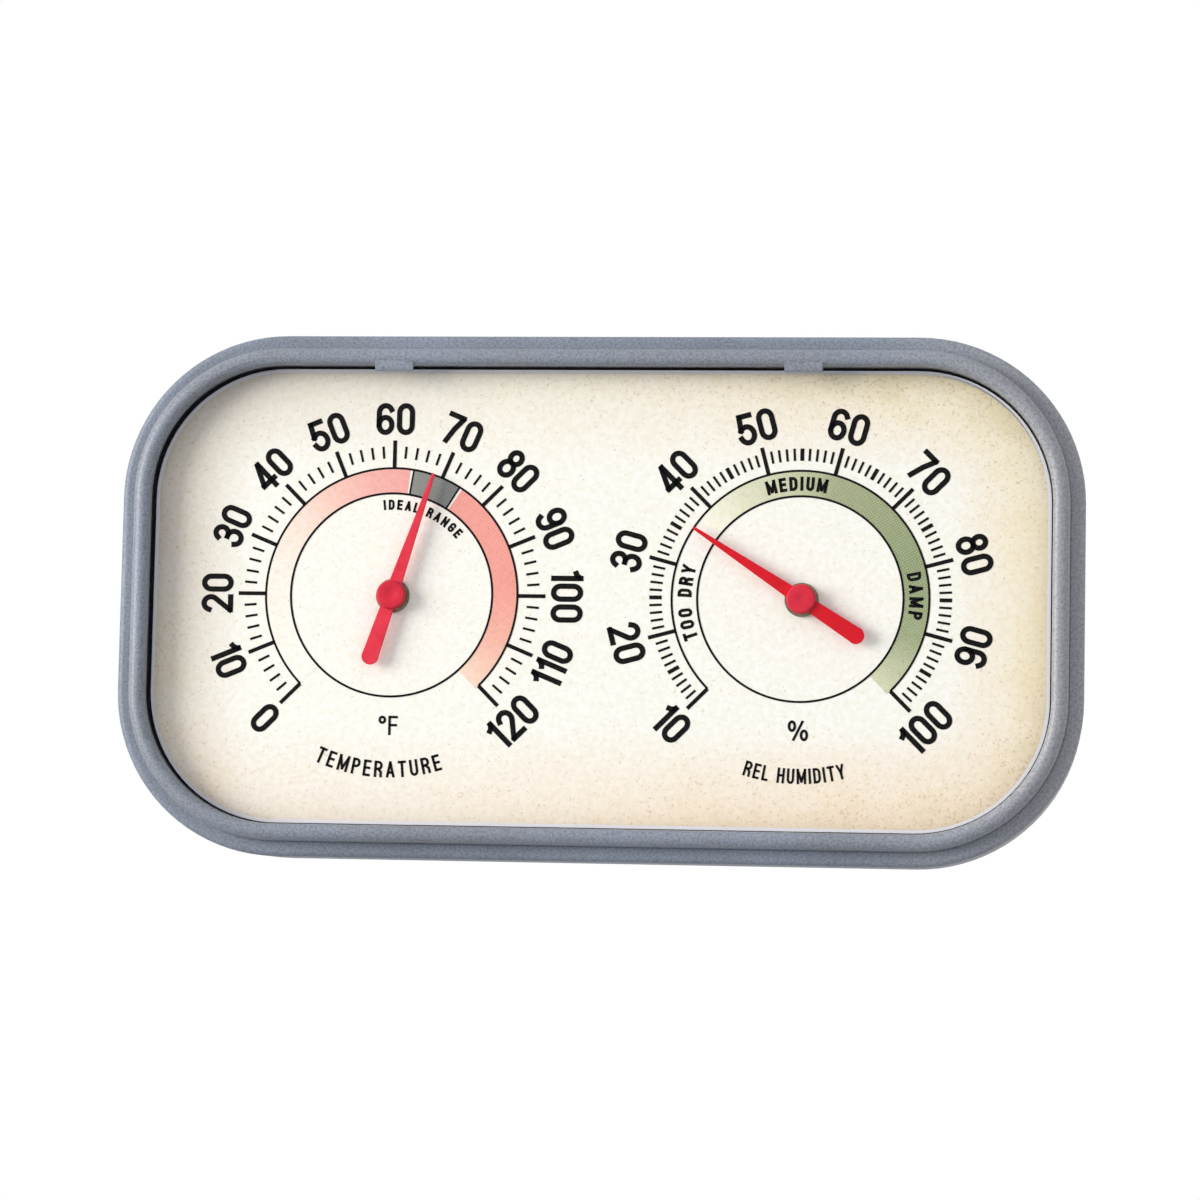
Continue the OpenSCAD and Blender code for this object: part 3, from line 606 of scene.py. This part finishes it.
oval = bow(0.5, 0.74, 0.5, 0.26, 180, 0) + bow(0.5, 0.26, 0.5, 0.26, 0, -180) + [(0.0, 0.74)]
bowl = bow(0.5, 0.28, 0.5, 0.28, 180, 540)
six = [bowl, [(0.0, 0.28)] + bow(0.5, 0.74, 0.5, 0.26, 180, 25)]
stem = [(0.0, 0.0), (0.0, 1.0)]
far_stem = [(1.0, 0.0), (1.0, 1.0)]
top = [(0.0, 1.0), (1.0, 1.0)]
foot = [(0.0, 0.0), (1.0, 0.0)]
crown = [(0.0, 1.0)] + bow(0.5, 0.755, 0.5, 0.245, 90, -90) + [(0.0, 0.51)]
glyphs = {
    "0": (1.0, [oval]),
    "1": (0.42, [far_stem, bow(-0.2, 1.03, 1.1, 0.21, -75, -20)]),
    "2": (1.0, [bow(0.5, 0.74, 0.5, 0.26, 165, -40) + [(0.0, 0.02)], foot]),
    "3": (1.0, [bow(0.5, 0.765, 0.46, 0.235, 160, -90) + [(0.4, 0.53)],
                [(0.4, 0.53)] + bow(0.5, 0.265, 0.5, 0.265, 90, -160)]),
    "4": (1.05, [[(0.74, 0.0), (0.74, 1.0)], [(0.66, 1.0), (0.03, 0.27)], [(0.0, 0.23), (1.0, 0.23)]]),
    "5": (1.0, [[(0.14, 1.0), (0.92, 1.0)], [(0.14, 1.0), (0.06, 0.5)], bow(0.47, 0.3, 0.53, 0.3, 140, -160)]),
    "6": (1.0, six),
    "7": (1.0, [top, [(1.0, 0.95), (0.62, 0.5), (0.36, 0.0)]]),
    "8": (1.0, [bow(0.5, 0.77, 0.44, 0.23, 90, 450), bow(0.5, 0.27, 0.5, 0.27, 90, 450)]),
    "9": (1.0, turned_over(six)),
    "A": (1.0, [[(0.0, 0.0), (0.5, 1.0)], [(0.5, 1.0), (1.0, 0.0)], [(0.2, 0.27), (0.8, 0.27)]]),
    "D": (0.95, [stem + bow(0.4, 0.72, 0.6, 0.28, 90, 0) + bow(0.4, 0.28, 0.6, 0.28, 0, -90) + [(0.0, 0.0)]]),
    "E": (0.8, [stem, top, [(0.0, 0.52), (0.9, 0.52)], foot]),
    "F": (0.8, [stem, top, [(0.0, 0.52), (0.9, 0.52)]]),
    "G": (1.0, [bow(0.5, 0.74, 0.5, 0.26, 15, 180) + bow(0.5, 0.26, 0.5, 0.26, 180, 360) + [(1.0, 0.46), (0.6, 0.46)]]),
    "H": (0.95, [stem, far_stem, [(0.0, 0.51), (1.0, 0.51)]]),
    "I": (0.0, [stem]),
    "L": (0.75, [stem, foot]),
    "M": (1.35, [stem, far_stem, [(0.0, 1.0), (0.5, 0.12)], [(0.5, 0.12), (1.0, 1.0)]]),
    "N": (1.0, [stem, far_stem, [(0.0, 1.0), (1.0, 0.0)]]),
    "O": (1.0, [oval]),
    "P": (0.9, [stem, crown]),
    "R": (0.95, [stem, crown, [(0.5, 0.51), (0.95, 0.3), (1.0, 0.0)]]),
    "T": (0.9, [top, [(0.5, 0.0), (0.5, 1.0)]]),
    "U": (0.95, [[(0.0, 1.0)] + bow(0.5, 0.27, 0.5, 0.27, 180, 360) + [(1.0, 1.0)]]),
    "Y": (1.0, [[(0.0, 1.0), (0.5, 0.42)], [(1.0, 1.0), (0.5, 0.42)], [(0.5, 0.42), (0.5, 0.0)]]),
    "%": (2.0, [bow(0.16, 0.75, 0.16, 0.25, 90, 450), bow(0.84, 0.25, 0.16, 0.25, 90, 450),
                [(0.26, 0.0), (0.74, 1.0)]]),
    "*": (0.6, [bow(0.5, 0.83, 0.5, 0.17, 90, 450)]),
    " ": (0.3, []),
}


def draw(text, height, pen, width, gap):
    """Each glyph's strokes for a line of text, with the place of its middle and the line's length."""
    body = (width - pen) * height
    drawn, x = [], 0.0
    for letter in text:
        share, strokes = glyphs[letter]
        across = share * body
        shaped = []
        for stroke in strokes:
            line = [((px - 0.5) * across, (pen / 2 + py * (1 - pen) - 0.5) * height) for px, py in stroke]
            closed = math.dist(line[0], line[-1]) < 1e-6
            if closed:
                line = line[:-1]
            else:
                for end, inner in ((0, 1), (-1, -2)):
                    dx, dy = line[end][0] - line[inner][0], line[end][1] - line[inner][1]
                    stretch = pen * height / 2 / math.hypot(dx, dy)
                    line[end] = (line[end][0] + dx * stretch, line[end][1] + dy * stretch)
            sides = ribbon(line, pen * height, closed)
            shaped.append([tuple((px, max(-height / 2, min(height / 2, py))) for px, py in pair) for pair in sides])
        drawn.append((x + (across + pen * height) / 2, shaped))
        x += across + pen * height + gap * height
    return drawn, x - gap * height


def numeral(number, angle):
    """A number set square to its radius. Those on the lower half are turned over, to read upright."""
    drawn, length = draw(str(number), numeral_height, numeral_pen, numeral_width, numeral_gap)
    over = abs(angle) > 90
    heading = math.radians(angle + (180 if over else 0))
    centre = bearing(angle, numeral_radius)
    placed = []
    for middle, strokes in drawn:
        for sides in strokes:
            placed.append([tuple((
                centre[0] + (x + middle - length / 2) * math.cos(heading) + y * math.sin(heading),
                centre[1] - (x + middle - length / 2) * math.sin(heading) + y * math.cos(heading),
            ) for x, y in pair) for pair in sides])
    return placed


def curved_word(text, height, pen, width, gap, radius, angle, tops_out=True):
    """A word set letter by letter round a scale, centred on an angle."""
    drawn, length = draw(text, height, pen, width, gap)
    placed = []
    for middle, strokes in drawn:
        swing = math.degrees((middle - length / 2) / radius)
        at = angle + swing if tops_out else angle - swing
        heading = math.radians(at if tops_out else at + 180)
        centre = bearing(at, radius)
        for sides in strokes:
            placed.append([tuple((
                centre[0] + x * math.cos(heading) + y * math.sin(heading),
                centre[1] - x * math.sin(heading) + y * math.cos(heading),
            ) for x, y in pair) for pair in sides])
    return placed


def flat_word(text, height, pen, width, gap, at):
    """A word set level, centred on a point."""
    drawn, length = draw(text, height, pen, width, gap)
    return [[tuple((at[0] + x + middle - length / 2, at[1] + y) for x, y in pair) for pair in sides]
            for middle, strokes in drawn for sides in strokes]


thermo_numerals, hygro_numerals = [], []
for degrees in range(0, 121, 10):
    thermo_numerals += numeral(degrees, temperature_angle(degrees))
for percent in range(10, 101, 10):
    hygro_numerals += numeral(percent, humidity_angle(percent))
print_piece("thermo_numerals", thermo_numerals, thermo_middle + black_height, black)
print_piece("hygro_numerals", hygro_numerals, hygro_middle + black_height, black)

# Each word has its height in millimetres, then its pen, width and gap as shares of that height,
# and then the radius and the angle of its middle. The star stands for the degree sign.
title_pen = 0.155
word_pen = 0.22
word_width = 0.6
unit_pen = 0.13
green_word_height = 2.4
green_word_radius = 19.6
print_piece("thermo_words",
            curved_word("TEMPERATURE", 2.8, title_pen, 0.53, 0.22, 29.9, 183, tops_out=False)
            + curved_word("IDEAL RANGE", 1.75, word_pen, word_width, 0.28, 15.5, 21)
            + flat_word("*F", 3.3, unit_pen, 0.58, 0.12, (0.0, -22.4)),
            thermo_middle + black_height, black)
print_piece("hygro_words",
            curved_word("REL HUMIDITY", 2.6, title_pen, 0.5, 0.15, 30.0, 181, tops_out=False)
            + curved_word("TOO DRY", green_word_height, word_pen, word_width, 0.25, green_word_radius, -92.5)
            + curved_word("MEDIUM", green_word_height, word_pen, word_width, 0.2, green_word_radius, -2.5)
            + curved_word("DAMP", green_word_height, word_pen, word_width, 0.28, green_word_radius, 88)
            + flat_word("%", 3.5, unit_pen, 0.56, 0.1, (0.0, -22.3)),
            hygro_middle + black_height, black)

# The pointers, stamped from thin metal sheet, and the hubs, turned buttons pressed on the shafts.
# All are painted red, satin on the blades and a little glossier on the hubs, and the humidity
# pointer's red is the deeper.
thermo_red = "#E8374A"
thermo_red_deep = "#DA283D"
hygro_red = "#DA081F"
hygro_red_deep = "#CC051A"
hub_red = "#DC2A40"
hub_red_deep = "#C71F35"
paint_cloud = 3.0
paint_grain = 0.15
paint_edge_round = 0.2


def red_paint(name, colour, deep_colour, roughness):
    """Stoved paint: saturated, slightly darker in patches, and drawn round over the edges."""
    finish = new_finish(name)
    where = add(finish, "TexCoord").outputs["Object"]
    depth = add(finish, "TexNoise", {"Vector": where, "Scale": 1 / (paint_cloud * MM), "Detail": 3.0}).outputs["Fac"]
    colours = add(finish, "ValToRGB", {"Fac": depth}, [(0.3, deep_colour), (0.6, colour)]).outputs["Color"]
    satin = add(finish, "TexNoise", {"Vector": where, "Scale": 1 / (paint_grain * MM), "Detail": 1.0}).outputs["Fac"]
    rounded = add(finish, "Bevel", {"Radius": paint_edge_round * MM}, samples=4).outputs["Normal"]
    relief = add(finish, "Bump", {"Strength": 0.1, "Distance": 0.01 * MM, "Height": satin, "Normal": rounded})
    skin = add(finish, "BsdfPrincipled", {
        "Base Color": colours,
        "Roughness": roughness,
        "IOR": 1.48,
        "Specular IOR Level": 0.2,
        "Normal": relief.outputs["Normal"],
    })
    add(finish, "OutputMaterial", {"Surface": skin.outputs["BSDF"]})
    return finish


dress(red_paint("satin_red_paint", thermo_red, thermo_red_deep, 0.45), "thermo_pointer")
dress(red_paint("satin_deep_red_paint", hygro_red, hygro_red_deep, 0.45), "hygro_pointer")
dress(red_paint("semi_gloss_red_paint", hub_red, hub_red_deep, 0.35), "thermo_hub", "hygro_hub")

# The parting between the bezel and the case. The bezel's own step closes it just below the surface,
# so it shows as a fine grey line.
rim_width = 2.5
rim_corner = 28.2
parting_gap = 0.1
parting_depth = 0.06
step_width = 1.8 * parting_gap
rim_low, rim_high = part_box("rear_case")
rim_middle = Vector(((rim_low.x + rim_high.x) / 2, rim_low.y + parting_depth * MM, (rim_low.z + rim_high.z) / 2))
straight_x = (rim_high.x - rim_low.x) / 2 / MM - rim_corner
straight_z = (rim_high.z - rim_low.z) / 2 / MM - rim_corner
parting = []
for quarter, (side, height) in enumerate(((1, 1), (1, -1), (-1, -1), (-1, 1))):
    for x, z in arc_points(90 * quarter, 90 * quarter + 90, rim_corner - rim_width - parting_gap / 2, 4.0):
        parting.append((x + side * straight_x, z + height * straight_z))
step = print_piece("parting_step", [ribbon(parting, step_width, closed=True)], rim_middle,
                   moulded_abs("step_blue_grey_abs", bead_colour, case_worn_colour, painted_light_bead, 0.45, case_grain))

# The window, moulded in clear polystyrene. Seen square on it is nearly invisible, and towards grazing
# angles it takes a faint grey-blue and a reflection. Its side below the bead is painted black as
# painted shade, standing in for the deep shadow in the gap round the dial, and shows as a fine dark
# line at the left and the top.
window_tint = "#8E979C"
window_tint_pale = "#98A1A6"
mould_flow = 25.0
# The painted shade on the window's side: its black, and how far above the card it reaches.
painted_shadow_black = "#101114"
painted_shadow_height = 2.75
side_from_middle = 15.0
clear = new_finish("clear_polystyrene")
glance = add(clear, "LayerWeight", {"Blend": 0.3}).outputs["Facing"]
haze = add(clear, "MapRange", {"Value": glance, "From Min": 0.3, "From Max": 1.0, "To Min": 0.007, "To Max": 0.22})
# The side is where the surface looks away from the middle of the dial. The normal turns round on
# a face's back, so it is turned again there.
coordinates = add(clear, "TexCoord")
where = coordinates.outputs["Object"]
facing = coordinates.outputs["Normal"]
from_middle = add(clear, "VectorMath", {0: where, 1: tuple((dial_low + dial_high) / 2)}, operation="SUBTRACT")
level = add(clear, "VectorMath", {0: from_middle.outputs["Vector"], 1: (1.0, 0.0, 1.0)}, operation="MULTIPLY")
outwards = add(clear, "VectorMath", {0: level.outputs["Vector"], 1: facing}, operation="DOT_PRODUCT").outputs["Value"]
turned = add(clear, "NewGeometry").outputs["Backfacing"]
way = add(clear, "Math", {0: turned, 1: -2.0, 2: 1.0}, operation="MULTIPLY_ADD").outputs["Value"]
outside = add(clear, "Math", {0: outwards, 1: way}, operation="MULTIPLY").outputs["Value"]
at_side = add(clear, "Math", {0: outside, 1: side_from_middle * MM}, operation="GREATER_THAN").outputs["Value"]
depth = add(clear, "SeparateXYZ", {"Vector": where}).outputs["Y"]
low_down = add(clear, "Math", {0: depth, 1: dial_low.y - painted_shadow_height * MM}, operation="GREATER_THAN")
shadow_painted_here = add(clear, "Math", {0: at_side, 1: low_down.outputs["Value"]}, operation="MULTIPLY").outputs["Value"]
flow = add(clear, "TexNoise", {"Vector": where, "Scale": 1 / (mould_flow * MM), "Detail": 1.0}).outputs["Fac"]
ripple = add(clear, "Bump", {"Strength": 0.05, "Distance": 0.1 * MM, "Height": flow}).outputs["Normal"]
tint = add(clear, "ValToRGB", {"Fac": flow}, [(0.3, window_tint), (0.7, window_tint_pale)]).outputs["Color"]
skin = add(clear, "BsdfPrincipled", {
    "Base Color": tint,
    "Roughness": 0.04,
    "IOR": 1.59,
    "Alpha": haze.outputs["Result"],
    "Normal": ripple,
})
# Painted shade: a matt black on the side, standing in for the shadow in the gap round the dial.
painted_shadow_skin = add(clear, "BsdfDiffuse", {"Color": painted_shadow_black}).outputs["BSDF"]
shown = add(clear, "MixShader", {0: shadow_painted_here, 1: skin.outputs["BSDF"], 2: painted_shadow_skin}).outputs["Shader"]
add(clear, "OutputMaterial", {"Surface": shown})
dress(clear, "window")

# The stage: a pale floor that takes the object's shadow. The camera stands just below its level,
# so it is drawn only from above, and light passes it to reach the foot of the case.
floor_reach = 3.0
floor_pale = "#F7F7F7"
floor_shade = "#F4F4F4"
floor_cloud = 0.25
floor_mesh = bpy.data.meshes.new("floor")
floor_corners = [(x * floor_reach, y * floor_reach, 0.0) for x, y in ((-1, -1), (1, -1), (1, 1), (-1, 1))]
floor_mesh.from_pydata(floor_corners, [], [(0, 1, 2, 3)])
floor = bpy.data.objects.new("floor", floor_mesh)
bpy.context.scene.collection.objects.link(floor)
pale = new_finish("pale_floor")
where = add(pale, "TexCoord").outputs["Object"]
cloud = add(pale, "TexNoise", {"Vector": where, "Scale": 1 / floor_cloud}).outputs["Fac"]
paint = add(pale, "ValToRGB", {"Fac": cloud}, [(0.3, floor_shade), (0.7, floor_pale)]).outputs["Color"]
matt = add(pale, "BsdfDiffuse", {"Color": paint}).outputs["BSDF"]
nothing = add(pale, "BsdfTransparent").outputs["BSDF"]
under = add(pale, "NewGeometry").outputs["Backfacing"]
shown = add(pale, "MixShader", {0: under, 1: matt, 2: nothing}).outputs["Shader"]
add(pale, "OutputMaterial", {"Surface": shown})
floor_mesh.materials.append(pale)
floor.visible_diffuse = False
floor.visible_glossy = False
floor.visible_transmission = False
floor.visible_shadow = False

# The light: a wide soft key from the left, low over the dial, which lays the pointers' shadows to
# their right, and a fill from the whole surround that is stronger from above and the front.
key_way = Vector((-1.0, -0.57, 0.2)).normalized()
fill_way = Vector((0.28, -0.5, 0.82)).normalized()
key_distance = 2.4
fill_least, fill_most = 0.16, 0.87
key = bpy.data.objects.new("key", bpy.data.lights.new("key", "AREA"))
bpy.context.scene.collection.objects.link(key)
key.data.shape = "DISK"
key.data.size = 1.5
key.data.energy = 61.5
key.data.color = (1.0, 0.98, 0.94)
key.location = print_middle + key_way * key_distance
key.rotation_mode = "QUATERNION"
key.rotation_quaternion = (-key_way).to_track_quat("-Z", "Y")

world = bpy.data.worlds.new("surround")
world.use_nodes = True
world.node_tree.nodes.clear()
bpy.context.scene.world = world
path = add(world, "LightPath")
seen = add(world, "Math", {0: path.outputs["Is Camera Ray"], 1: path.outputs["Is Glossy Ray"]}, operation="MAXIMUM")
plain = add(world, "Math", {0: seen.outputs["Value"], 1: path.outputs["Is Transmission Ray"]}, operation="MAXIMUM")
toward = add(world, "TexCoord").outputs["Generated"]
lit = add(world, "VectorMath", {0: toward, 1: tuple(fill_way)}, operation="DOT_PRODUCT").outputs["Value"]
level = add(world, "MapRange", {
    "Value": lit, "From Min": -1.0, "From Max": 1.0, "To Min": fill_least, "To Max": fill_most})
fill = add(world, "Background", {"Color": "#F5F8FF", "Strength": level.outputs["Result"]}).outputs["Background"]
white = add(world, "Background", {"Color": "#FFFFFF", "Strength": 1.0}).outputs["Background"]
both = add(world, "MixShader", {0: plain.outputs["Value"], 1: fill, 2: white}).outputs["Shader"]
add(world, "OutputWorld", {"Surface": both})

bpy.context.scene.view_settings.view_transform = "Standard"
